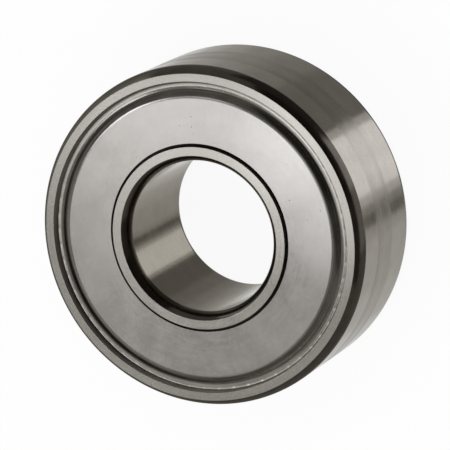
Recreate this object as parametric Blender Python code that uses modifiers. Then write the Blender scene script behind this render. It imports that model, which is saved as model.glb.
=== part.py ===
"""Double row angular contact ball bearing, 40 x 90 x 36.5 mm, with a steel shield on each side.

The bearing axis is Z and the origin lies on it, half way between the two end faces. Both rows of
balls bear at an angle, back to back: on the outer ring beside its centre rib, and on the inner ring
under its high outer shoulders. Sizes are in metres.
"""

from math import acos, asin, cos, pi, radians, sin, tan

import bmesh
import bpy
from mathutils import Matrix, Vector

for item in list(bpy.data.objects):
    bpy.data.objects.remove(item, do_unlink=True)

MM = 0.001

# Balls and raceways
BALL_RADIUS = 6.35 * MM
BALLS_PER_ROW = 11
ROW_GAP = 3.1 * MM
CONTACT_ANGLE = radians(30.0)
RACE_CLEARANCE = 0.2 * MM
RACE_TO_BALL_RADIUS = 1.06

# Inner ring
BORE_RADIUS = 20.0 * MM
INNER_WALL = 5.95 * MM
INNER_SHOULDER_HEIGHT = 2.45 * MM
INNER_MIDDLE_HEIGHT = 1.25 * MM
INNER_FACE_LAND = 2.38 * MM
BORE_CHAMFER_RADIAL = 1.8 * MM
BORE_CHAMFER_AXIAL = 3.6 * MM

# Outer ring
OUTER_WALL = 5.95 * MM
CENTRE_RIB_HEIGHT = 2.75 * MM
OUTER_SHOULDER_HEIGHT = 0.75 * MM
OUTER_FACE_LAND = 2.1 * MM
RECESS_TAPER = 0.75 * MM
RECESS_UNDERCUT = 0.6 * MM
OUTER_CHAMFER_RADIAL = 1.75 * MM
OUTER_CHAMFER_AXIAL = 3.8 * MM

# Shields, pressed from sheet and crimped under the lip of the outer ring's recess
SHEET = 0.5 * MM
SHIELD_DEPTH = 0.6 * MM
STEP_RUN = 1.85 * MM
STEP_DROP = 1.18 * MM
SHOULDER_BEND = 0.9 * MM
FOOT_BEND = 0.4 * MM
FOOT_OVERHANG = 0.57 * MM
RIM_LIFT = 0.2 * MM
SEAT_CLEARANCE = 0.3 * MM
RUNNING_GAP = 0.7 * MM
SHIELD_CLEARANCE = 0.75 * MM

# Cages, snapped over the balls from outside
CAGE_RIM = 1.9 * MM
CAGE_CLEARANCE = 0.6 * MM
POCKET_CLEARANCE = 0.25 * MM
CLAW_REACH = 1.9 * MM
CLAW_SLOT_WIDTH = 1.8 * MM
CLAW_SLOT_DEPTH = 3.4 * MM

# Fineness of the round shapes
RING_STEPS = 48
CAGE_STEPS_PER_BALL = 3
RACE_STEPS = 5
CORNER_STEPS = 3
BEND_STEPS = 2
BALL_SEGMENTS = 12
BALL_RINGS = 8
MERGE_DISTANCE = 0.05 * MM
SHARP_EDGE = radians(28.0)

# Radii that follow from the sizes above
RACE_RADIUS = BALL_RADIUS * RACE_TO_BALL_RADIUS
PITCH_RADIUS = BORE_RADIUS + INNER_WALL + RACE_CLEARANCE + BALL_RADIUS
OUTER_RADIUS = PITCH_RADIUS + BALL_RADIUS + RACE_CLEARANCE + OUTER_WALL
INNER_SHOULDER_RADIUS = BORE_RADIUS + INNER_WALL + INNER_SHOULDER_HEIGHT
INNER_MIDDLE_RADIUS = BORE_RADIUS + INNER_WALL + INNER_MIDDLE_HEIGHT
INNER_FACE_RADIUS = BORE_RADIUS + BORE_CHAMFER_RADIAL + INNER_FACE_LAND
CENTRE_RIB_RADIUS = OUTER_RADIUS - OUTER_WALL - CENTRE_RIB_HEIGHT
OUTER_SHOULDER_RADIUS = OUTER_RADIUS - OUTER_WALL - OUTER_SHOULDER_HEIGHT
RECESS_MOUTH_RADIUS = OUTER_RADIUS - OUTER_CHAMFER_RADIAL - OUTER_FACE_LAND
RECESS_LIP_RADIUS = RECESS_MOUTH_RADIUS - RECESS_TAPER
RECESS_GROOVE_RADIUS = RECESS_LIP_RADIUS + RECESS_UNDERCUT
STEP_FOOT_RADIUS = OUTER_SHOULDER_RADIUS + FOOT_OVERHANG
STEP_TOP_RADIUS = STEP_FOOT_RADIUS - STEP_RUN
SHIELD_BORE_RADIUS = INNER_FACE_RADIUS + RUNNING_GAP
RIM_RADIUS = RECESS_GROOVE_RADIUS - SEAT_CLEARANCE

# Heights above the middle plane
ROW_HEIGHT = ROW_GAP / 2 + BALL_RADIUS
CAGE_TOP = ROW_HEIGHT + BALL_RADIUS + POCKET_CLEARANCE + CAGE_RIM
FACE_HEIGHT = CAGE_TOP + SHIELD_CLEARANCE + SHEET + SHIELD_DEPTH
SHIELD_TOP = FACE_HEIGHT - SHIELD_DEPTH
RIM_TOP = SHIELD_TOP - STEP_DROP
LEDGE_HEIGHT = RIM_TOP - SHEET - SEAT_CLEARANCE
LIP_HEIGHT = RIM_TOP + RIM_LIFT + SEAT_CLEARANCE

bearing = bpy.data.collections.new("double_row_angular_contact_bearing")
bpy.context.scene.collection.children.link(bearing)
cutters = bpy.data.collections.new("cutters")
bpy.context.scene.collection.children.link(cutters)


def make_material(name, colour, metallic, roughness):
    material = bpy.data.materials.new(name)
    material.use_nodes = True
    shader = material.node_tree.nodes["Principled BSDF"]
    shader.inputs["Base Color"].default_value = (*colour, 1.0)
    shader.inputs["Metallic"].default_value = metallic
    shader.inputs["Roughness"].default_value = roughness
    return material


def add_object(name, mesh, material, collection):
    obj = bpy.data.objects.new(name, mesh)
    if material:
        mesh.materials.clear()
        mesh.materials.append(material)
    collection.objects.link(obj)
    return obj


def hide_cutter(obj):
    obj.hide_render = True
    obj.display_type = "WIRE"


def settle(obj):
    """Make what an object's modifiers build its own mesh, shaded smooth up to its sharp edges."""
    graph = bpy.context.evaluated_depsgraph_get()
    mesh = bpy.data.meshes.new_from_object(obj.evaluated_get(graph), depsgraph=graph)
    mesh.shade_smooth()
    mesh.set_sharp_from_angle(angle=SHARP_EDGE)
    obj.modifiers.clear()
    obj.data = mesh
    mesh.name = obj.name
    return obj


def profile_object(name, outline, closed, material, collection):
    """An outline of (radius, height) points in the XZ plane."""
    mesh = bpy.data.meshes.new(name)
    points = [(radius, 0.0, height) for radius, height in outline]
    edges = [(i, i + 1) for i in range(len(points) - 1)]
    if closed:
        edges.append((len(points) - 1, 0))
    mesh.from_pydata(points, edges, [])
    return add_object(name, mesh, material, collection)


def turn(obj, steps):
    screw = obj.modifiers.new("Turn", "SCREW")
    screw.axis = "Z"
    screw.angle = 2 * pi
    screw.steps = steps
    screw.render_steps = steps
    screw.use_merge_vertices = True
    screw.merge_threshold = MERGE_DISTANCE


def turned_ring(name, outline, material):
    """A solid ring turned about Z from a closed outline that runs down its outer side."""
    ring = profile_object(name, outline, True, material, bearing)
    turn(ring, RING_STEPS)
    return settle(ring)


def both_ends(half):
    """The outline of a ring alike at both ends, from the half above the middle plane."""
    return half + [(radius, -height) for radius, height in reversed(half)]


def corner(cylinder_radius, radial, axial, side):
    """A corner rounded by an arc tangent to the cylinder, from the end face down to the cylinder.

    side is 1 for a corner on an outside diameter and -1 for one in a bore.
    """
    arc_radius = (radial**2 + axial**2) / (2 * radial)
    sweep = asin(axial / arc_radius)
    angles = [sweep * (1 - i / CORNER_STEPS) for i in range(CORNER_STEPS + 1)]
    return [
        (
            cylinder_radius - side * arc_radius * (1 - cos(angle)),
            FACE_HEIGHT - axial + arc_radius * sin(angle),
        )
        for angle in angles
    ]


def raceway(side, lower_radius, upper_radius):
    """The groove of the upper row, from its middle shoulder up to its outer shoulder.

    side is 1 for the outer ring's groove and -1 for the inner ring's.
    """
    offset = RACE_RADIUS - BALL_RADIUS - RACE_CLEARANCE
    centre_radius = PITCH_RADIUS - side * offset * cos(CONTACT_ANGLE)
    centre_height = ROW_HEIGHT + side * offset * sin(CONTACT_ANGLE)
    start = -acos(side * (lower_radius - centre_radius) / RACE_RADIUS)
    end = acos(side * (upper_radius - centre_radius) / RACE_RADIUS)
    angles = [start + (end - start) * i / RACE_STEPS for i in range(RACE_STEPS + 1)]
    return [
        (
            centre_radius + side * RACE_RADIUS * cos(angle),
            centre_height + RACE_RADIUS * sin(angle),
        )
        for angle in angles
    ]


def make_outer_ring(material):
    half = raceway(1, CENTRE_RIB_RADIUS, OUTER_SHOULDER_RADIUS)
    half += [
        (OUTER_SHOULDER_RADIUS, LEDGE_HEIGHT),
        (RECESS_GROOVE_RADIUS, LEDGE_HEIGHT),
        (RECESS_GROOVE_RADIUS, LIP_HEIGHT),
        (RECESS_LIP_RADIUS, LIP_HEIGHT),
        (RECESS_MOUTH_RADIUS, FACE_HEIGHT),
    ]
    half += corner(OUTER_RADIUS, OUTER_CHAMFER_RADIAL, OUTER_CHAMFER_AXIAL, 1)
    return turned_ring("outer_ring", both_ends(half), material)


def make_inner_ring(material):
    half = corner(BORE_RADIUS, BORE_CHAMFER_RADIAL, BORE_CHAMFER_AXIAL, -1)[::-1]
    half += [
        (INNER_FACE_RADIUS, FACE_HEIGHT),
        (INNER_FACE_RADIUS, CAGE_TOP),
        (INNER_SHOULDER_RADIUS, CAGE_TOP),
    ]
    half += raceway(-1, INNER_MIDDLE_RADIUS, INNER_SHOULDER_RADIUS)[::-1]
    return turned_ring("inner_ring", both_ends(half), material)


def bend(before, at, after, radius):
    """Points along the arc that rounds the corner at a point of an outline."""
    before, at, after = Vector(before), Vector(at), Vector(after)
    towards = (before - at).normalized()
    away = (after - at).normalized()
    half = towards.angle(away) / 2
    centre = at + (towards + away).normalized() * radius / sin(half)
    start = (at + towards * radius / tan(half) - centre).normalized()
    end = (at + away * radius / tan(half) - centre).normalized()
    steps = [i / BEND_STEPS for i in range(BEND_STEPS + 1)]
    return [centre + radius * start.slerp(end, step) for step in steps]


def shield_outline():
    """The outer surface of a washer that steps down to its rim, from the bore outwards."""
    bore = (SHIELD_BORE_RADIUS, SHIELD_TOP)
    shoulder = (STEP_TOP_RADIUS, SHIELD_TOP)
    foot = (STEP_FOOT_RADIUS, RIM_TOP)
    rim = (RIM_RADIUS, RIM_TOP + RIM_LIFT)
    return [
        bore,
        *bend(bore, shoulder, foot, SHOULDER_BEND),
        *bend(shoulder, foot, rim, FOOT_BEND),
        rim,
    ]


def make_shields(material):
    front = profile_object("front_shield", shield_outline(), False, material, bearing)
    turn(front, RING_STEPS)
    sheet = front.modifiers.new("Sheet", "SOLIDIFY")
    sheet.thickness = SHEET
    sheet.offset = -1.0
    sheet.use_even_offset = True
    settle(front)
    rear = add_object("rear_shield", front.data, material, bearing)
    rear.rotation_euler.x = pi


def row_angles():
    return [2 * pi * i / BALLS_PER_ROW for i in range(BALLS_PER_ROW)]


def spin_axis(angle):
    """The axis that a ball of the upper row rolls about, square to its line of contact."""
    return Vector(
        (
            sin(CONTACT_ANGLE) * cos(angle),
            sin(CONTACT_ANGLE) * sin(angle),
            cos(CONTACT_ANGLE),
        )
    )


def make_sphere_mesh(name, radius):
    mesh = bpy.data.meshes.new(name)
    shape = bmesh.new()
    bmesh.ops.create_uvsphere(
        shape, u_segments=BALL_SEGMENTS, v_segments=BALL_RINGS, radius=radius
    )
    shape.to_mesh(mesh)
    shape.free()
    return mesh


def pocket_cutter():
    """Spheres whose flats, not their corners, keep the pocket clearance to the balls.

    Each has its poles on the cage's radius and is turned about it by half a segment, so that none
    of its edges runs along one of the cage's.
    """
    flats = cos(pi / BALL_SEGMENTS) * cos(pi / (2 * BALL_RINGS))
    radius = (BALL_RADIUS + POCKET_CLEARANCE) / flats
    sphere = make_sphere_mesh("pocket", radius)
    sphere.transform(Matrix.Rotation(pi / BALL_SEGMENTS, 4, "Z"))
    balls = bpy.data.collections.new("pockets")
    cutters.children.link(balls)
    for angle in row_angles():
        cutter = add_object("pocket", sphere, None, balls)
        cutter.location = (
            PITCH_RADIUS * cos(angle),
            PITCH_RADIUS * sin(angle),
            ROW_HEIGHT,
        )
        cutter.rotation_euler = (0.0, pi / 2, angle)
        hide_cutter(cutter)
    return balls


def slot_cutter():
    """Blocks half way between the pockets, which split each bar into two claws."""
    slot_bottom = ROW_HEIGHT - CLAW_REACH
    mesh = bpy.data.meshes.new("slot")
    shape = bmesh.new()
    bmesh.ops.create_cube(shape, size=1.0)
    bmesh.ops.scale(
        shape,
        vec=(2 * BALL_RADIUS, CLAW_SLOT_WIDTH, 2 * CLAW_SLOT_DEPTH),
        verts=shape.verts,
    )
    shape.to_mesh(mesh)
    shape.free()
    slots = bpy.data.collections.new("slots")
    cutters.children.link(slots)
    for angle in row_angles():
        middle = angle + pi / BALLS_PER_ROW
        cutter = add_object("slot", mesh, None, slots)
        cutter.location = (
            PITCH_RADIUS * cos(middle),
            PITCH_RADIUS * sin(middle),
            slot_bottom,
        )
        cutter.rotation_euler.z = middle
        hide_cutter(cutter)
    return slots


def make_cage(material):
    """The upper row's cage: a ring cut by the pockets and the claw slots."""
    inner = INNER_SHOULDER_RADIUS + CAGE_CLEARANCE
    outer = STEP_TOP_RADIUS - CAGE_CLEARANCE
    bottom = ROW_HEIGHT - CLAW_REACH
    outline = [
        (outer, CAGE_TOP),
        (outer, bottom),
        (inner, bottom),
        (inner, CAGE_TOP),
    ]
    cage = profile_object("front_cage", outline, True, material, bearing)
    turn(cage, CAGE_STEPS_PER_BALL * BALLS_PER_ROW)
    for label, collection in (("Pockets", pocket_cutter()), ("Claw slots", slot_cutter())):
        cut = cage.modifiers.new(label, "BOOLEAN")
        cut.operation = "DIFFERENCE"
        cut.operand_type = "COLLECTION"
        cut.collection = collection
        cut.solver = "EXACT"
    return settle(cage)


def make_balls(row, cage, sphere, material):
    """The balls of one row, carried by its cage, each with its own Z on the axis it rolls about."""
    for number, angle in enumerate(row_angles(), start=1):
        ball = add_object(f"{row}_ball_{number:02d}", sphere, material, bearing)
        ball.parent = cage
        ball.location = (
            PITCH_RADIUS * cos(angle),
            PITCH_RADIUS * sin(angle),
            ROW_HEIGHT,
        )
        ball.rotation_mode = "QUATERNION"
        ball.rotation_quaternion = spin_axis(angle).to_track_quat("Z", "Y")


def main():
    ring_steel = make_material("ring steel", (0.60, 0.59, 0.57), 1.0, 0.28)
    shield_steel = make_material("shield steel", (0.64, 0.63, 0.61), 1.0, 0.24)
    ball_steel = make_material("ball steel", (0.70, 0.70, 0.70), 1.0, 0.08)
    polyamide = make_material("cage polyamide", (0.05, 0.05, 0.05), 0.0, 0.45)

    make_outer_ring(ring_steel)
    make_inner_ring(ring_steel)
    make_shields(shield_steel)

    front_cage = make_cage(polyamide)
    rear_cage = add_object("rear_cage", front_cage.data, polyamide, bearing)
    rear_cage.rotation_euler = (pi, 0.0, pi / BALLS_PER_ROW)

    sphere = make_sphere_mesh("ball", BALL_RADIUS)
    sphere.shade_smooth()
    make_balls("front", front_cage, sphere, ball_steel)
    make_balls("rear", rear_cage, sphere, ball_steel)


main()
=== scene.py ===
"""The looks of a shielded double row angular contact ball bearing that lies on one end face.

The rings and shields are turned again from finer outlines, with their broken edges, the shields'
curled rims and the marks of the crimping tool. Balls and cages are the model's own shapes, finer.
Sizes are in metres, the bearing axis is Z and z = 0 is the middle plane.
"""

from math import acos, asin, ceil, cos, pi, radians, sin, tan

import bmesh
import bpy
from mathutils import Matrix, Vector


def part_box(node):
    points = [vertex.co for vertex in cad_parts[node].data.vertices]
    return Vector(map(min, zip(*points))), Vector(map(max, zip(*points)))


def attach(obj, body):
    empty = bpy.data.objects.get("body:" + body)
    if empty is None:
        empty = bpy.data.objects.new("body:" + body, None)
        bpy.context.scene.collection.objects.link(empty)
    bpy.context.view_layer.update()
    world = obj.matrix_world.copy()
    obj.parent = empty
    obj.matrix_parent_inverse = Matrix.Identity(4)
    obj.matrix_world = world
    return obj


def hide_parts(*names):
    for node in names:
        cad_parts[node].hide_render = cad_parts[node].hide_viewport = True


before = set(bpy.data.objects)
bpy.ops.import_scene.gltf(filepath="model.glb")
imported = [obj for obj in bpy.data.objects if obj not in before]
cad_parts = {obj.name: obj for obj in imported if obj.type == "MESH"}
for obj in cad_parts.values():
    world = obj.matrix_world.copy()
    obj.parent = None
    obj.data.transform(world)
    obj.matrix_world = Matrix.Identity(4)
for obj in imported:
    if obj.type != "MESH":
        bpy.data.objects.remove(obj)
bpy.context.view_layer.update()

MM = 0.001

# Balls and raceways
BALL_RADIUS = 6.35 * MM
BALLS_PER_ROW = 11
ROW_GAP = 3.1 * MM
CONTACT_ANGLE = radians(30.0)
RACE_CLEARANCE = 0.2 * MM
RACE_TO_BALL_RADIUS = 1.06

# Rings
FACE_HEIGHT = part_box("outer_ring")[1].z
OUTER_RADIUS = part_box("outer_ring")[1].x
BORE_RADIUS = 20.0 * MM
INNER_WALL = 5.95 * MM
INNER_SHOULDER_HEIGHT = 2.45 * MM
INNER_MIDDLE_HEIGHT = 1.25 * MM
INNER_FACE_RADIUS = 24.18 * MM
BORE_CHAMFER_RADIAL = 1.8 * MM
BORE_CHAMFER_AXIAL = 3.6 * MM
OUTER_WALL = 5.95 * MM
CENTRE_RIB_HEIGHT = 2.75 * MM
OUTER_SHOULDER_HEIGHT = 0.75 * MM
OUTER_CHAMFER_RADIAL = 1.75 * MM
OUTER_CHAMFER_AXIAL = 3.8 * MM
RECESS_MOUTH_RADIUS = 41.15 * MM
RECESS_LIP_RADIUS = 40.55 * MM
RECESS_GROOVE_RADIUS = 41.0 * MM
BROKEN_EDGE = 0.12 * MM
INNER_EDGE = 0.25 * MM

# Shields
SHEET = 0.5 * MM
SHIELD_DEPTH = 0.6 * MM
SHIELD_BORE_RADIUS = 24.88 * MM
STEP_TOP_RADIUS = 37.65 * MM
STEP_FOOT_RADIUS = 38.87 * MM
STEP_DROP = 1.18 * MM
SHOULDER_BEND = 2.7 * MM
FOOT_BEND = 1.4 * MM
FOOT_LIFT = 0.11 * MM
RIM_FLARE_RADIUS = 39.85 * MM
RIM_FLARE_BEND = 6.0 * MM
RIM_RADIUS = 40.8 * MM
RIM_EDGE_LIFT = 0.09 * MM
SHEET_EDGE = 0.06 * MM
CRIMP_MARKS = 60
CRIMP_DEPTH = 0.04 * MM
CRIMP_SHARPNESS = 4
CRIMP_MEAN = 0.5
CRIMP_LEAN = 0.4
CRIMP_WAVER = 0.1
CRIMP_WAVES = 7
CRIMP_START_RADIUS = 39.9 * MM
CRIMP_FULL_RADIUS = 40.3 * MM
SEAT_CLEARANCE = 0.3 * MM
LIP_GAP = 0.12 * MM

# Cages
CAGE_RADIUS = 36.5 * MM
CAGE_RIM = 1.9 * MM
CAGE_CLEARANCE = 0.6 * MM
POCKET_CLEARANCE = 0.25 * MM
CLAW_REACH = 1.9 * MM
CLAW_SLOT_WIDTH = 1.8 * MM
CLAW_SLOT_DEPTH = 3.4 * MM

# Finish: a tint is the colour that a steel has at a level of 1
STEEL_TINT = (1.0, 0.955, 0.89)
WALL_TINT = (1.0, 0.95, 0.865)
# The bore tint is part of the painted shade in the bore
BORE_SHADE_TINT = (1.0, 0.935, 0.80)
PRESSED_TINT = (1.0, 0.965, 0.925)
# The corner tint is part of the painted shade on the chamfers and corners
CORNER_SHADE_TINT = (1.0, 0.90, 0.78)
COARSE_GRAIN = 0.45 * MM
FINE_GRAIN = 0.35 * MM
GRAIN_DETAIL = 2.0
GRAIN_HEIGHT = 0.001 * MM
CLOUD_DETAIL = 3.0
TURNING_SMEAR = 3.0
ROUGHNESS_MARKS = 0.5
ROUGHNESS_SPREAD = 0.4
NICKS_APART = 2.5 * MM
NICK_SIZE = 0.35 * MM
NICK_ROUGHNESS = 0.25
WORN_MIDDLE = 0.75 * MM
WORN_REACH = 4.5 * MM
WORN_EDGE = 1.3 * MM
WORN_BETWEEN = 0.4
WORN_ROUGHNESS = 0.09
STREAK_PITCH = 1.0 * MM
STREAK_SMEAR = 2.0
STREAK_DETAIL = 1.0
FAINTEST_STREAK = 0.7
STRONGEST_STREAK = 1.3

# Fineness
RING_STEPS = 256
SHIELD_STEPS = 720
ARC_STEPS = 6
CHAMFER_STEPS = 16
RACE_STEPS = 24
BALL_SEGMENTS = 48
BALL_RINGS = 24
CAGE_STEPS = 176
POCKET_SEGMENTS = 40
SHARP_ANGLE = radians(35.0)

# What follows from them
RACE_RADIUS = BALL_RADIUS * RACE_TO_BALL_RADIUS
PITCH_RADIUS = BORE_RADIUS + INNER_WALL + RACE_CLEARANCE + BALL_RADIUS
INNER_SHOULDER_RADIUS = BORE_RADIUS + INNER_WALL + INNER_SHOULDER_HEIGHT
INNER_MIDDLE_RADIUS = BORE_RADIUS + INNER_WALL + INNER_MIDDLE_HEIGHT
CENTRE_RIB_RADIUS = OUTER_RADIUS - OUTER_WALL - CENTRE_RIB_HEIGHT
OUTER_SHOULDER_RADIUS = OUTER_RADIUS - OUTER_WALL - OUTER_SHOULDER_HEIGHT
ROW_HEIGHT = ROW_GAP / 2 + BALL_RADIUS
CAGE_TOP = ROW_HEIGHT + BALL_RADIUS + POCKET_CLEARANCE + CAGE_RIM
SHIELD_TOP = FACE_HEIGHT - SHIELD_DEPTH
RIM_TOP = SHIELD_TOP - STEP_DROP
LEDGE_HEIGHT = RIM_TOP - SHEET - SEAT_CLEARANCE
LIP_HEIGHT = RIM_TOP + RIM_EDGE_LIFT + LIP_GAP
FLAT_END_RADIUS = STEP_TOP_RADIUS - SHOULDER_BEND / 8
DRAWN_END_RADIUS = STEP_FOOT_RADIUS + FOOT_BEND / 8
FACE_SLACK = BROKEN_EDGE / 2
WALL_SLACK = BROKEN_EDGE / 10


# Outlines of (radius, height) points


def bend(before, at, after, radius):
    """Points along the arc that rounds the corner at a point of an outline."""
    before, at, after = Vector(before), Vector(at), Vector(after)
    towards = (before - at).normalized()
    away = (after - at).normalized()
    half = towards.angle(away) / 2
    centre = at + (towards + away).normalized() * radius / sin(half)
    start = (at + towards * radius / tan(half) - centre).normalized()
    end = (at + away * radius / tan(half) - centre).normalized()
    steps = [i / ARC_STEPS for i in range(ARC_STEPS + 1)]
    return [tuple(centre + radius * start.slerp(end, step)) for step in steps]


def rounded(corners):
    """A closed outline from (radius, height, rounding) corners.

    A corner without rounding stays a point.
    """
    outline = []
    for i, (radius, height, rounding) in enumerate(corners):
        if rounding:
            before = corners[i - 1][:2]
            after = corners[(i + 1) % len(corners)][:2]
            outline += bend(before, (radius, height), after, rounding)
        else:
            outline.append((radius, height))
    return outline


def both_ends(half):
    """The outline of a whole ring from its upper half, which runs from the inside outwards."""
    return half + [(radius, -height, rounding) for radius, height, rounding in reversed(half)]


def raceway(side, lower_radius, upper_radius):
    """The groove of the upper row: side is 1 in the outer ring and -1 on the inner ring."""
    offset = RACE_RADIUS - BALL_RADIUS - RACE_CLEARANCE
    centre_radius = PITCH_RADIUS - side * offset * cos(CONTACT_ANGLE)
    centre_height = ROW_HEIGHT + side * offset * sin(CONTACT_ANGLE)
    start = -acos(side * (lower_radius - centre_radius) / RACE_RADIUS)
    end = acos(side * (upper_radius - centre_radius) / RACE_RADIUS)
    angles = [start + (end - start) * i / RACE_STEPS for i in range(RACE_STEPS + 1)]
    return [
        (
            centre_radius + side * RACE_RADIUS * cos(angle),
            centre_height + RACE_RADIUS * sin(angle),
            0.0,
        )
        for angle in angles
    ]


def chamfer(cylinder_radius, radial, axial, side):
    """The rounded corner between an end face and a cylinder: side is 1 outside and -1 in a bore."""
    arc_radius = (radial**2 + axial**2) / (2 * radial)
    sweep = asin(axial / arc_radius)
    angles = [sweep * (1 - i / CHAMFER_STEPS) for i in range(CHAMFER_STEPS + 1)]
    points = [
        (
            cylinder_radius - side * arc_radius * (1 - cos(angle)),
            FACE_HEIGHT - axial + arc_radius * sin(angle),
            0.0,
        )
        for angle in angles
    ]
    return [(*points[0][:2], BROKEN_EDGE), *points[1:]]


# Meshes


def no_dent(turn, radius):
    return 0.0


def turned(name, outline, materials, finish_of, steps=RING_STEPS, dent=no_dent):
    """A closed outline turned about Z, whose outer side runs down.

    U follows the outline and V the turn. A finish is the material of a stretch of the outline, from
    the middle of the stretch. A dent is how far the surface drops at a turn and radius.
    """
    points = [Vector(point) for point in outline]
    count = len(points)
    along = [0.0]
    finishes = []
    for i in range(count):
        following = points[(i + 1) % count]
        along.append(along[-1] + (following - points[i]).length)
        finishes.append(materials.index(finish_of((points[i] + following) / 2)))
    chords = [points[(i + 1) % count] - points[i - 1] for i in range(count)]
    facing = [Vector((-chord.y, chord.x)).normalized() for chord in chords]
    half_step = pi / steps
    vertices = []
    normals = []
    for k in range(steps):
        turn = 2 * pi * k / steps
        for point, side in zip(points, facing):
            drop = dent(turn, point.x)
            fall = dent(turn + half_step, point.x) - dent(turn - half_step, point.x)
            slope = fall / (2 * half_step * point.x) * side.y
            vertices.append((point.x * cos(turn), point.x * sin(turn), point.y - drop))
            x = side.x * cos(turn) - slope * sin(turn)
            y = side.x * sin(turn) + slope * cos(turn)
            normals.append(tuple(Vector((x, y, side.y)).normalized()))
    faces = []
    uvs = []
    for k in range(steps):
        here = k * count
        there = (k + 1) % steps * count
        for i in range(count):
            j = (i + 1) % count
            faces.append((here + i, here + j, there + j, there + i))
            low, high = along[i] / OUTER_RADIUS, along[i + 1] / OUTER_RADIUS
            start, end = k / steps, (k + 1) / steps
            uvs += [low, start, high, start, high, end, low, end]
    mesh = bpy.data.meshes.new(name)
    mesh.from_pydata(vertices, [], faces)
    mesh.uv_layers.new(name="turning").data.foreach_set("uv", uvs)
    for material in materials:
        mesh.materials.append(material)
    mesh.polygons.foreach_set("material_index", finishes * steps)
    mesh.shade_smooth()
    mesh.normals_split_custom_set_from_vertices(normals)
    return add_object(name, mesh)


def add_object(name, mesh):
    obj = bpy.data.objects.new(name, mesh)
    bpy.context.scene.collection.objects.link(obj)
    return obj


# Node helpers

# The ends that a noise mostly stays between, and the factor that widens it to 0.5 either way
NOISE_LOW = 0.3
NOISE_HIGH = 0.7
NOISE_REACH = 2.5

# The sockets of a Mix node that blend colours
MIX_FACTOR = 0
MIX_FIRST = 6
MIX_SECOND = 7
MIX_RESULT = 2


class Nodes:
    """Short ways to add and join the nodes of a tree."""

    def __init__(self, tree):
        self.tree = tree

    def add(self, kind, **settings):
        node = self.tree.nodes.new(kind)
        for key, value in settings.items():
            setattr(node, key, value)
        return node

    def feed(self, socket, value):
        if isinstance(value, bpy.types.NodeSocket):
            self.tree.links.new(value, socket)
        else:
            socket.default_value = value

    def math(self, operation, *values):
        node = self.add("ShaderNodeMath", operation=operation)
        for socket, value in zip(node.inputs, values):
            self.feed(socket, value)
        return node.outputs[0]

    def ramp(self, value, start, end, at_start, at_end):
        """From one level to another, while a value runs from start to end."""
        node = self.add("ShaderNodeMapRange")
        for socket, setting in zip(node.inputs, (value, start, end, at_start, at_end)):
            self.feed(socket, setting)
        return node.outputs[0]

    def blend(self, factor, first, second):
        node = self.add("ShaderNodeMix", data_type="RGBA")
        self.feed(node.inputs[MIX_FACTOR], factor)
        self.feed(node.inputs[MIX_FIRST], (*first, 1.0))
        self.feed(node.inputs[MIX_SECOND], (*second, 1.0))
        return node.outputs[MIX_RESULT]


class MaterialNodes(Nodes):
    """The nodes of a new material, with the noises and marks that finishes are made of."""

    def __init__(self, name):
        self.material = bpy.data.materials.new(name)
        self.material.use_nodes = True
        super().__init__(self.material.node_tree)
        self.shader = self.tree.nodes["Principled BSDF"]

    def place(self):
        return self.add("ShaderNodeTexCoord").outputs["Object"]

    def coordinates(self):
        parts = self.add("ShaderNodeSeparateXYZ")
        self.feed(parts.inputs[0], self.place())
        return parts.outputs

    def turning_noise(self, pitch, smear, detail):
        """Noise drawn out round the axis: pitch is its width across the marks, in metres."""
        x, y, z = self.coordinates()
        squares = self.math("ADD", self.math("POWER", x, 2.0), self.math("POWER", y, 2.0))
        radius = self.math("SQRT", squares)
        spot = self.add("ShaderNodeCombineXYZ")
        self.feed(spot.inputs["X"], self.math("MULTIPLY", self.math("DIVIDE", x, radius), smear))
        self.feed(spot.inputs["Y"], self.math("MULTIPLY", self.math("DIVIDE", y, radius), smear))
        self.feed(spot.inputs["Z"], self.math("DIVIDE", radius, pitch))
        noise = self.add("ShaderNodeTexNoise", noise_dimensions="4D")
        self.feed(noise.inputs["Vector"], spot.outputs[0])
        self.feed(noise.inputs["W"], self.math("DIVIDE", z, pitch))
        self.feed(noise.inputs["Scale"], 1.0)
        self.feed(noise.inputs["Detail"], detail)
        return noise.outputs["Fac"]

    def cloudy_noise(self, size, detail):
        noise = self.add("ShaderNodeTexNoise")
        self.feed(noise.inputs["Vector"], self.place())
        self.feed(noise.inputs["Scale"], 1.0 / size)
        self.feed(noise.inputs["Detail"], detail)
        return noise.outputs["Fac"]

    def marks(self, *parts):
        """Pairs of a noise and its amount, joined: 0.5 on the whole, more where they run high."""
        result = 0.5
        for noise, amount in parts:
            away = self.math("SUBTRACT", noise, 0.5)
            result = self.math("MULTIPLY_ADD", away, amount * NOISE_REACH, result)
        return result

    def worn_track(self):
        """1 along both borders of a worn track, less between them and 0 outside."""
        height = self.coordinates()["Z"]
        away = self.math("ABSOLUTE", self.math("SUBTRACT", height, WORN_MIDDLE))
        inside = self.ramp(away, 0.0, WORN_REACH, WORN_BETWEEN, 1.0)
        outside = self.ramp(away, WORN_REACH, WORN_REACH + WORN_EDGE, 1.0, 0.0)
        return self.math("MULTIPLY", inside, outside)

    def nicks(self):
        """1 in small scattered spots and 0 elsewhere."""
        spots = self.add("ShaderNodeTexVoronoi")
        self.feed(spots.inputs["Vector"], self.place())
        self.feed(spots.inputs["Scale"], 1.0 / NICKS_APART)
        reach = NICK_SIZE / 2 / NICKS_APART
        return self.ramp(spots.outputs["Distance"], reach / 2, reach, 1.0, 0.0)

    def spread(self, noise, low, high):
        """Noise between its usual ends, brought to a range."""
        return self.ramp(noise, NOISE_LOW, NOISE_HIGH, low, high)

    def bump(self, height, distance, strength):
        node = self.add("ShaderNodeBump")
        self.feed(node.inputs["Height"], height)
        self.feed(node.inputs["Distance"], distance)
        self.feed(node.inputs["Strength"], strength)
        return node.outputs[0]


# Materials


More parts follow.
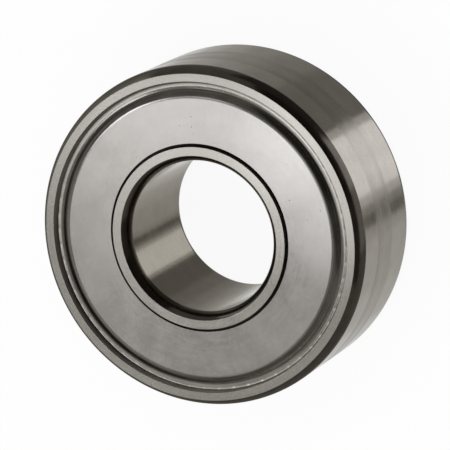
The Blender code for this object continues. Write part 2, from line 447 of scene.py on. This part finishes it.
def steel(
    name,
    levels,
    tint,
    roughness,
    anisotropy,
    stain,
    grain,
    cloudiness,
    turning,
    graininess,
    worn=False,
):
    """Bright steel, ground or turned round the axis, with clouds, turning marks, grain and nicks.

    The colour is the tint at levels between the two given. Stain and grain are the sizes of the
    clouds and of the grain. Cloudiness, turning and graininess say how strong the clouds, the
    turning marks and the grain are. Worn steel has a worn track round it.
    """
    nodes = MaterialNodes(name)
    shader = nodes.shader.inputs
    shader["Metallic"].default_value = 1.0
    shader["Anisotropic"].default_value = anisotropy
    tangent = nodes.add("ShaderNodeTangent", direction_type="UV_MAP", uv_map="turning")
    nodes.feed(shader["Tangent"], tangent.outputs[0])
    clouds = nodes.cloudy_noise(stain, CLOUD_DETAIL)
    turning_marks = nodes.turning_noise(grain, TURNING_SMEAR, GRAIN_DETAIL)
    speckle = nodes.cloudy_noise(grain, GRAIN_DETAIL)
    nicks = nodes.nicks()
    shade = nodes.marks((clouds, cloudiness), (turning_marks, turning), (speckle, graininess))
    shade = nodes.math("SUBTRACT", shade, nicks)
    rough = nodes.marks(*((noise, ROUGHNESS_MARKS) for noise in (clouds, turning_marks, speckle)))
    smoothest = roughness * (1 - ROUGHNESS_SPREAD / 2)
    rough = nodes.math("MULTIPLY_ADD", rough, roughness * ROUGHNESS_SPREAD, smoothest)
    rough = nodes.math("MULTIPLY_ADD", nicks, NICK_ROUGHNESS, rough)
    if worn:
        streaks = nodes.turning_noise(STREAK_PITCH, STREAK_SMEAR, STREAK_DETAIL)
        streaks = nodes.spread(streaks, FAINTEST_STREAK, STRONGEST_STREAK)
        track = nodes.math("MULTIPLY", nodes.worn_track(), streaks)
        rough = nodes.math("MULTIPLY_ADD", track, WORN_ROUGHNESS, rough)
    dark, light = ([level * part for part in tint] for level in levels)
    nodes.feed(shader["Base Color"], nodes.blend(shade, dark, light))
    nodes.feed(shader["Roughness"], rough)
    height = nodes.marks((turning_marks, turning), (speckle, graininess))
    height = nodes.math("SUBTRACT", height, nicks)
    nodes.feed(shader["Normal"], nodes.bump(height, distance=GRAIN_HEIGHT, strength=1.0))
    return nodes.material


def ball_steel():
    nodes = MaterialNodes("polished ball steel")
    shader = nodes.shader.inputs
    shader["Metallic"].default_value = 1.0
    tone = nodes.spread(nodes.cloudy_noise(size=3 * MM, detail=3.0), 0.0, 1.0)
    dark = (0.66, 0.66, 0.66)
    light = (0.71, 0.71, 0.70)
    nodes.feed(shader["Base Color"], nodes.blend(tone, dark, light))
    sheen = nodes.cloudy_noise(size=0.6 * MM, detail=4.0)
    nodes.feed(shader["Roughness"], nodes.spread(sheen, low=0.05, high=0.1))
    return nodes.material


def polyamide():
    nodes = MaterialNodes("moulded polyamide")
    shader = nodes.shader.inputs
    grain = nodes.cloudy_noise(size=0.4 * MM, detail=4.0)
    tone = nodes.spread(nodes.cloudy_noise(size=4 * MM, detail=3.0), 0.0, 1.0)
    dark = (0.028, 0.028, 0.027)
    light = (0.045, 0.044, 0.042)
    nodes.feed(shader["Base Color"], nodes.blend(tone, dark, light))
    nodes.feed(shader["Roughness"], nodes.spread(grain, low=0.42, high=0.58))
    nodes.feed(shader["Normal"], nodes.bump(grain, distance=0.02 * MM, strength=0.4))
    return nodes.material


def painted_gap_shade_steel():
    """Near-black steel on the sides of the gap beside the shield: painted shade for the shade in
    that gap.
    """
    nodes = MaterialNodes("gap steel with painted shade")
    shader = nodes.shader.inputs
    gap_tone = nodes.spread(nodes.cloudy_noise(size=1.5 * MM, detail=3.0), 0.0, 1.0)
    dark = (0.012, 0.010, 0.007)
    light = (0.03, 0.026, 0.02)
    nodes.feed(shader["Base Color"], nodes.blend(gap_tone, dark, light))
    smear = nodes.cloudy_noise(size=0.5 * MM, detail=3.0)
    nodes.feed(shader["Roughness"], nodes.spread(smear, low=0.45, high=0.6))
    return nodes.material


# Pieces


def on_face(point):
    return abs(point.y) > FACE_HEIGHT - FACE_SLACK


def make_outer_ring(face, wall, corner, recess, turned_steel):
    half = raceway(1, CENTRE_RIB_RADIUS, OUTER_SHOULDER_RADIUS)
    half += [
        (OUTER_SHOULDER_RADIUS, LEDGE_HEIGHT, INNER_EDGE),
        (RECESS_GROOVE_RADIUS, LEDGE_HEIGHT, INNER_EDGE),
        (RECESS_GROOVE_RADIUS, LIP_HEIGHT, BROKEN_EDGE),
        (RECESS_LIP_RADIUS, LIP_HEIGHT, BROKEN_EDGE),
        (RECESS_MOUTH_RADIUS, FACE_HEIGHT, BROKEN_EDGE),
    ]
    half += chamfer(OUTER_RADIUS, OUTER_CHAMFER_RADIAL, OUTER_CHAMFER_AXIAL, 1)
    face_middle = (RECESS_MOUTH_RADIUS + OUTER_RADIUS) / 2

    def finish(point):
        if point.x > OUTER_RADIUS - WALL_SLACK:
            return wall
        if on_face(point):
            return face
        # The chamfer takes the corner finish, whose dark colour is painted shade
        if point.x > face_middle:
            return corner
        return recess if abs(point.y) > LEDGE_HEIGHT else turned_steel

    finishes = (face, wall, corner, recess, turned_steel)
    ring = turned("outer_ring_turned", rounded(both_ends(half)), finishes, finish)
    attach(ring, "housing_side")
    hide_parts("outer_ring")


def make_inner_ring(face, bore, corner, painted_gap_shade, turned_steel):
    half = chamfer(BORE_RADIUS, BORE_CHAMFER_RADIAL, BORE_CHAMFER_AXIAL, -1)[::-1]
    half += [
        (INNER_FACE_RADIUS, FACE_HEIGHT, BROKEN_EDGE),
        (INNER_FACE_RADIUS, CAGE_TOP, INNER_EDGE),
        (INNER_SHOULDER_RADIUS, CAGE_TOP, INNER_EDGE),
    ]
    half += raceway(-1, INNER_MIDDLE_RADIUS, INNER_SHOULDER_RADIUS)[::-1]

    def finish(point):
        if point.x < BORE_RADIUS + WALL_SLACK:
            return bore
        # The sides of the gap beside the shield take near-black steel: painted shade
        if point.x > INNER_FACE_RADIUS - FACE_SLACK and abs(point.y) > CAGE_TOP - INNER_EDGE:
            return painted_gap_shade
        if on_face(point):
            return face
        # The bore chamfer takes the corner finish, whose dark colour is painted shade
        return corner if point.x < BORE_RADIUS + BORE_CHAMFER_RADIAL else turned_steel

    finishes = (face, bore, corner, painted_gap_shade, turned_steel)
    ring = turned("inner_ring_turned", rounded(both_ends(half)), finishes, finish)
    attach(ring, "shaft_side")
    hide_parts("inner_ring")


def crimp(turn, radius):
    """The shallow marks that the crimping tool leaves along a shield's rim."""
    share = (radius - CRIMP_START_RADIUS) / (CRIMP_FULL_RADIUS - CRIMP_START_RADIUS)
    share = min(max(share, 0.0), 1.0)
    uneven = CRIMP_MEAN - CRIMP_LEAN * cos(turn) + CRIMP_WAVER * sin(CRIMP_WAVES * turn)
    mark = (0.5 + 0.5 * cos(CRIMP_MARKS * turn)) ** CRIMP_SHARPNESS
    return CRIMP_DEPTH * share * uneven * mark


def make_shield(row, side, flat, drawn, rim):
    """A row's shield, made for the front and turned over where the side is -1."""
    corners = [
        (SHIELD_BORE_RADIUS, SHIELD_TOP - SHEET, SHEET_EDGE),
        (SHIELD_BORE_RADIUS, SHIELD_TOP, SHEET_EDGE),
        (STEP_TOP_RADIUS, SHIELD_TOP, SHOULDER_BEND),
        (STEP_FOOT_RADIUS, RIM_TOP + FOOT_LIFT, FOOT_BEND),
        (RIM_FLARE_RADIUS, RIM_TOP, RIM_FLARE_BEND),
        (RIM_RADIUS, RIM_TOP + RIM_EDGE_LIFT, SHEET_EDGE),
        (RIM_RADIUS, RIM_TOP - SHEET, SHEET_EDGE),
        (STEP_FOOT_RADIUS - SHEET / 2, RIM_TOP - SHEET, SHEET),
        (STEP_TOP_RADIUS - SHEET / 3, SHIELD_TOP - SHEET, SHOULDER_BEND - SHEET),
    ]

    def finish(point):
        if point.x < FLAT_END_RADIUS:
            return flat
        # The step between the flat and the rim takes the drawn finish, whose dark colour is painted
        # shade
        return drawn if point.x < DRAWN_END_RADIUS else rim

    outline = rounded(corners)
    finishes = (flat, drawn, rim)
    shield = turned(f"{row}_shield_pressed", outline, finishes, finish, SHIELD_STEPS, crimp)
    if side < 0:
        shield.rotation_euler.x = pi
    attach(shield, "housing_side")
    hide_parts(f"{row}_shield")


def centre_of(node):
    low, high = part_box(node)
    return (low + high) / 2


def sphere_mesh(name, radius, segments, rings):
    mesh = bpy.data.meshes.new(name)
    shape = bmesh.new()
    bmesh.ops.create_uvsphere(shape, u_segments=segments, v_segments=rings, radius=radius)
    shape.to_mesh(mesh)
    shape.free()
    mesh.shade_smooth()
    return mesh


def make_balls(row, material):
    mesh = sphere_mesh(f"{row}_ball", BALL_RADIUS, BALL_SEGMENTS, BALL_RINGS)
    mesh.materials.append(material)
    for number in range(1, BALLS_PER_ROW + 1):
        node = f"{row}_ball_{number:02d}"
        ball = add_object(f"{node}_polished", mesh)
        ball.location = centre_of(node)
        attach(ball, node)
        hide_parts(node)


def cut(obj, cutter):
    """Take one shape away from another, and leave a plain mesh."""
    modifier = obj.modifiers.new("Cut", "BOOLEAN")
    modifier.object = cutter
    modifier.operation = "DIFFERENCE"
    modifier.solver = "EXACT"
    graph = bpy.context.evaluated_depsgraph_get()
    mesh = bpy.data.meshes.new_from_object(obj.evaluated_get(graph), depsgraph=graph)
    obj.modifiers.clear()
    obj.data = mesh
    bpy.data.objects.remove(cutter, do_unlink=True)


def cage_blank():
    """The ring that a cage is cut from, with its long edges broken."""
    inner = INNER_SHOULDER_RADIUS + CAGE_CLEARANCE
    outer = CAGE_RADIUS
    bottom = ROW_HEIGHT - CLAW_REACH
    outline = rounded(
        [
            (outer, CAGE_TOP, INNER_EDGE),
            (outer, bottom, INNER_EDGE),
            (inner, bottom, INNER_EDGE),
            (inner, CAGE_TOP, INNER_EDGE),
        ]
    )
    shape = bmesh.new()
    rounds = [
        [
            shape.verts.new((radius * cos(turn), radius * sin(turn), height))
            for radius, height in outline
        ]
        for turn in (2 * pi * k / CAGE_STEPS for k in range(CAGE_STEPS))
    ]
    for k in range(CAGE_STEPS):
        here, there = rounds[k], rounds[(k + 1) % CAGE_STEPS]
        for i in range(len(outline)):
            j = (i + 1) % len(outline)
            shape.faces.new((here[i], here[j], there[j], there[i]))
    mesh = bpy.data.meshes.new("cage")
    shape.to_mesh(mesh)
    shape.free()
    return add_object("cage_blank", mesh)


def claw_cutter():
    """A ball's pocket and the slot after it, for each of a cage's places, as one shape."""
    shape = bmesh.new()
    for number in range(BALLS_PER_ROW):
        turn = Matrix.Rotation(2 * pi * number / BALLS_PER_ROW, 4, "Z")
        pocket = turn @ Matrix.Translation((PITCH_RADIUS, 0.0, ROW_HEIGHT))
        bmesh.ops.create_uvsphere(
            shape,
            u_segments=POCKET_SEGMENTS,
            v_segments=POCKET_SEGMENTS // 2,
            radius=BALL_RADIUS + POCKET_CLEARANCE,
            matrix=pocket,
        )
    for number in range(BALLS_PER_ROW):
        turn = Matrix.Rotation(2 * pi * (number + 0.5) / BALLS_PER_ROW, 4, "Z")
        slot = turn @ Matrix.Translation((PITCH_RADIUS, 0.0, ROW_HEIGHT - CLAW_REACH))
        size = Matrix.Diagonal((2 * BALL_RADIUS, CLAW_SLOT_WIDTH, 2 * CLAW_SLOT_DEPTH, 1.0))
        bmesh.ops.create_cube(shape, size=1.0, matrix=slot @ size)
    mesh = bpy.data.meshes.new("claws")
    shape.to_mesh(mesh)
    shape.free()
    return add_object("claw_cutter", mesh)


def make_cages(material):
    """Both cages; the rear one is the front one turned over, half a pocket further round."""
    front = cage_blank()
    cut(front, claw_cutter())
    front.name = "front_cage_moulded"
    front.data.materials.clear()
    front.data.materials.append(material)
    front.data.shade_smooth()
    front.data.set_sharp_from_angle(angle=SHARP_ANGLE)
    turned_over = front.data.copy()
    half_pocket = Matrix.Rotation(pi / BALLS_PER_ROW, 4, "Z")
    turned_over.transform(half_pocket @ Matrix.Rotation(pi, 4, "X"))
    rear = add_object("rear_cage_moulded", turned_over)
    for row, cage in (("front", front), ("rear", rear)):
        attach(cage, f"{row}_cage")
        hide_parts(f"{row}_cage")


# Stage: floor, lamps, camera

VIEW_TILT = radians(26.47)
VIEW_ROLL = radians(-119.43)
VIEW_DISTANCE = 0.9269
VIEW_CENTRE = (-0.36 * MM, 0.31 * MM, 0.0)
LENS = 282.5
SENSOR = 36.0
FLOOR_RADIUS = 0.5
FLOOR_SEGMENTS = 96
FLOOR_COLOUR = (0.85, 0.85, 0.85, 1.0)
FLOOR_ROUGHNESS = 0.9
FLOOR_WHITE = 0.93
FLOOR_GAP = 0.02 * MM
WORLD_LIGHT = 0.8
WHITE = (1.0, 1.0, 1.0, 1.0)

# The powers of a panel's brightness that give its red, green and blue: dark ones are a little warm
PANEL_POWERS = (1.0, 1.02, 1.06)

# The light tent: the turns and rises, in degrees, and the brightness of each panel
TENT_RADIUS = 0.5
CLOTH_RADIUS = 0.55
PANEL_STEP = 5.0
TENT_PANELS = (
    ("zenith_light", (0, 360), (82, 90), 0.25),
    ("near_dark", (250, 322), (-4, 78), 0.025),
    ("near_dark_left", (210, 250), (-4, 20), 0.05),
    ("near_dark_low", (282, 335), (-56, -4), 0.05),
    ("left_cloth", (180, 210), (20, 80), 0.22),
    ("near_dark_side", (210, 250), (20, 80), 0.07),
    ("face_light_1", (70, 80), (58, 63), 0.9),
    ("face_light_2", (80, 90), (58, 63), 0.75),
    ("face_light_3", (90, 125), (58, 63), 0.36),
    ("face_light_4", (70, 80), (63, 68), 1.35),
    ("face_light_5", (80, 90), (63, 68), 0.75),
    ("face_light_6", (90, 100), (63, 68), 0.3),
    ("face_light_7", (100, 110), (63, 68), 0.5),
    ("face_light_8", (60, 75), (68, 73), 0.45),
    ("face_light_9", (75, 90), (68, 73), 1.8),
    ("face_light_10", (90, 105), (68, 73), 1.35),
    ("face_light_11", (90, 110), (53, 58), 0.5),
    ("face_light_13", (110, 130), (50, 58), 0.3),
    ("shoulder_light", (38, 64), (50, 62), 1.7),
    ("shoulder_light_right", (15, 45), (62, 72), 0.6),
    ("face_light_12", (60, 115), (73, 82), 0.6),
    ("near_light", (255, 282), (-56, -4), 0.69),
    ("near_light_left", (225, 255), (-56, -4), 0.36),
    ("back_light", (60, 120), (27, 36), 0.4),
    ("back_light_foot", (60, 120), (18, 27), 0.3),
    ("side_light", (10, 60), (0, 18), 0.6),
    ("side_light_top", (35, 60), (18, 30), 0.3),
    ("side_reflector", (10, 80), (-25, 0), 0.34),
)

# The ring of panels under the table, from LOW_START on: the width and brightness of each
LOW_START = 46
LOW_RISES = (-80, -56)
LOW_PANELS = (
    (14, 0.7),
    (58, 0.95),
    (8, 0.8),
    (22, 0.62),
    (30, 0.5),
    (36, 0.45),
    (8, 0.37),
    (8, 0.12),
    (6, 0.24),
    (6, 0.5),
    (40, 0.87),
    (6, 0.45),
    (42, 0.16),
    (26, 0.22),
    (20, 0.28),
    (15, 0.36),
    (15, 0.45),
)


def make_camera():
    data = bpy.data.cameras.new("camera")
    data.lens = LENS
    data.sensor_width = SENSOR
    data.clip_start = 10 * MM
    camera = bpy.data.objects.new("camera", data)
    bpy.context.scene.collection.objects.link(camera)
    turn = Matrix.Rotation(VIEW_TILT, 4, "X") @ Matrix.Rotation(VIEW_ROLL, 4, "Z")
    back = Matrix.Translation((0.0, 0.0, VIEW_DISTANCE))
    camera.matrix_world = Matrix.Translation(VIEW_CENTRE) @ turn @ back
    bpy.context.scene.camera = camera


def seen_rays(nodes):
    """1 for the rays that show the background: from the camera, and in reflections and glass."""
    path = nodes.add("ShaderNodeLightPath").outputs
    seen = nodes.math("MAXIMUM", path["Is Camera Ray"], path["Is Glossy Ray"])
    return nodes.math("MAXIMUM", seen, path["Is Transmission Ray"])


def make_floor():
    """A pale floor, white where it is seen.

    It is clear to reflections, so that the metal shows the panels under it.
    """
    nodes = MaterialNodes("pale floor")
    nodes.shader.inputs["Base Color"].default_value = FLOOR_COLOUR
    nodes.shader.inputs["Roughness"].default_value = FLOOR_ROUGHNESS
    white = nodes.add("ShaderNodeEmission")
    mix = nodes.add("ShaderNodeMixShader")
    nodes.feed(mix.inputs[0], nodes.math("MULTIPLY", seen_rays(nodes), FLOOR_WHITE))
    nodes.feed(mix.inputs[1], nodes.shader.outputs[0])
    nodes.feed(mix.inputs[2], white.outputs[0])
    nodes.feed(nodes.tree.nodes["Material Output"].inputs["Surface"], mix.outputs[0])
    mesh = bpy.data.meshes.new("floor")
    shape = bmesh.new()
    bmesh.ops.create_circle(shape, cap_ends=True, segments=FLOOR_SEGMENTS, radius=FLOOR_RADIUS)
    shape.to_mesh(mesh)
    shape.free()
    mesh.materials.append(nodes.material)
    floor = add_object("floor", mesh)
    floor.location.z = -FACE_HEIGHT - FLOOR_GAP
    floor.visible_glossy = False


def make_world():
    """White where it is seen, and a plain grey light on everything else."""
    world = bpy.data.worlds.new("studio")
    bpy.context.scene.world = world
    world.use_nodes = True
    nodes = Nodes(world.node_tree)
    background = nodes.tree.nodes["Background"].inputs
    background["Color"].default_value = WHITE
    nodes.feed(background["Strength"], nodes.ramp(seen_rays(nodes), 0.0, 1.0, WORLD_LIGHT, 1.0))


def direction(turn, rise):
    """The way from the bearing at a turn round it and a rise above the table, in degrees."""
    turn, rise = radians(turn), radians(rise)
    return Vector((cos(rise) * cos(turn), cos(rise) * sin(turn), sin(rise)))


def panel_material():
    """Glows as brightly as the panel's object colour says."""
    nodes = MaterialNodes("tent panel")
    glow = nodes.add("ShaderNodeEmission")
    nodes.feed(glow.inputs["Color"], nodes.add("ShaderNodeObjectInfo").outputs["Color"])
    nodes.feed(nodes.tree.nodes["Material Output"].inputs["Surface"], glow.outputs[0])
    nodes.material.cycles.emission_sampling = "NONE"
    return nodes.material


def panel(name, material, turns, rises, grey, radius=TENT_RADIUS):
    """A curved panel of the light tent, between two turns and two rises."""
    across = ceil((turns[1] - turns[0]) / PANEL_STEP)
    up = ceil((rises[1] - rises[0]) / PANEL_STEP)
    points = []
    for i in range(across + 1):
        turn = turns[0] + (turns[1] - turns[0]) * i / across
        for j in range(up + 1):
            rise = rises[0] + (rises[1] - rises[0]) * j / up
            points.append(direction(turn, rise) * radius)
    faces = []
    for i in range(across):
        for j in range(up):
            corner = i * (up + 1) + j
            faces.append((corner, corner + 1, corner + up + 2, corner + up + 1))
    mesh = bpy.data.meshes.new(name)
    mesh.from_pydata(points, [], faces)
    mesh.materials.append(material)
    screen = add_object(name, mesh)
    screen.color = (*(grey**power for power in PANEL_POWERS), 1.0)
    screen.visible_camera = False
    screen.visible_diffuse = False
    screen.visible_transmission = False
    screen.visible_shadow = False


def make_tent():
    """A light tent that only the metal shows: dark cloth and paler panels all round the bearing."""
    cloth = panel_material()
    panel("cloth_above", cloth, (0, 360), (0, 90), 0.16, CLOTH_RADIUS)
    panel("cloth_below", cloth, (0, 360), (-90, 0), 0.18, CLOTH_RADIUS)
    for name, turns, rises, grey in TENT_PANELS:
        panel(name, cloth, turns, rises, grey)
    turn = LOW_START
    for width, grey in LOW_PANELS:
        panel(f"low_panel_{turn}", cloth, (turn, turn + width), LOW_RISES, grey)
        turn += width


def softbox(name, turn, rise, distance, side, radiance):
    """A square lamp aimed at the bearing."""
    data = bpy.data.lights.new(name, "AREA")
    data.shape = "SQUARE"
    data.size = side
    data.energy = radiance * pi * side**2
    lamp = bpy.data.objects.new(name, data)
    bpy.context.scene.collection.objects.link(lamp)
    way = direction(turn, rise)
    lamp.location = way * distance
    lamp.rotation_euler = way.to_track_quat("Z", "Y").to_euler()
    lamp.visible_glossy = False


def make_lamps():
    softbox("key", turn=120.0, rise=55.0, distance=0.8, side=0.5, radiance=2.0)
    softbox("fill", turn=300.0, rise=50.0, distance=0.9, side=0.5, radiance=1.0)


# The whole bearing


def make_bearing():
    face = steel(
        "ground face steel", levels=(0.52, 0.69), tint=STEEL_TINT,
        roughness=0.17, anisotropy=0.6, stain=9 * MM, grain=COARSE_GRAIN,
        cloudiness=0.4, turning=0.3, graininess=0.5,
    )
    wall = steel(
        "ground wall steel", levels=(0.52, 0.68), tint=WALL_TINT,
        roughness=0.14, anisotropy=0.6, stain=5 * MM, grain=FINE_GRAIN,
        cloudiness=0.6, turning=0.25, graininess=0.5, worn=True,
    )
    inner = steel(
        "inner face steel", levels=(0.58, 0.76), tint=STEEL_TINT,
        roughness=0.17, anisotropy=0.6, stain=9 * MM, grain=COARSE_GRAIN,
        cloudiness=0.4, turning=0.3, graininess=0.5,
    )
    # Painted shade: these levels sit below those of the other ground steel, for the dimmer light
    # inside the bore
    bore = steel(
        "bore steel with painted shade", levels=(0.35, 0.46), tint=BORE_SHADE_TINT,
        roughness=0.15, anisotropy=0.6, stain=5 * MM, grain=FINE_GRAIN,
        cloudiness=0.5, turning=0.35, graininess=0.5,
    )
    turned_steel = steel(
        "turned steel", levels=(0.47, 0.66), tint=STEEL_TINT,
        roughness=0.18, anisotropy=0.6, stain=5 * MM, grain=FINE_GRAIN,
        cloudiness=0.5, turning=0.8, graininess=0.6,
    )
    pressed = steel(
        "pressed steel", levels=(0.54, 0.70), tint=PRESSED_TINT,
        roughness=0.15, anisotropy=0.5, stain=8 * MM, grain=0.6 * MM,
        cloudiness=0.75, turning=0.25, graininess=0.3,
    )
    # Painted shade: the dark base colour of the shield's step stands in for the dark band that its
    # reflections show
    drawn = steel(
        "shield step steel with painted shade", levels=(0.26, 0.36), tint=STEEL_TINT,
        roughness=0.22, anisotropy=0.4, stain=4 * MM, grain=FINE_GRAIN,
        cloudiness=0.6, turning=0.8, graininess=0.5,
    )
    rim = steel(
        "crimped rim steel", levels=(0.45, 0.62), tint=STEEL_TINT,
        roughness=0.13, anisotropy=0.5, stain=4 * MM, grain=FINE_GRAIN,
        cloudiness=0.5, turning=0.9, graininess=0.4,
    )
    # Painted shade: the dark base colour of the chamfers and corners stands in for the dark
    # reflections they show
    corner = steel(
        "corner steel with painted shade", levels=(0.16, 0.24), tint=CORNER_SHADE_TINT,
        roughness=0.18, anisotropy=0.5, stain=3 * MM, grain=FINE_GRAIN,
        cloudiness=0.5, turning=0.5, graininess=0.5,
    )
    recess = steel(
        "turned recess steel", levels=(0.52, 0.70), tint=STEEL_TINT,
        roughness=0.36, anisotropy=0.3, stain=4 * MM, grain=FINE_GRAIN,
        cloudiness=0.4, turning=0.8, graininess=0.5,
    )
    make_outer_ring(face, wall, corner, recess, turned_steel)
    make_inner_ring(inner, bore, corner, painted_gap_shade_steel(), turned_steel)
    make_shield("front", 1, pressed, drawn, rim)
    make_shield("rear", -1, pressed, drawn, rim)
    balls = ball_steel()
    for row in ("front", "rear"):
        make_balls(row, balls)
    make_cages(polyamide())


make_bearing()
make_camera()
make_floor()
make_world()
make_tent()
make_lamps()
bpy.context.scene.view_settings.view_transform = "Standard"
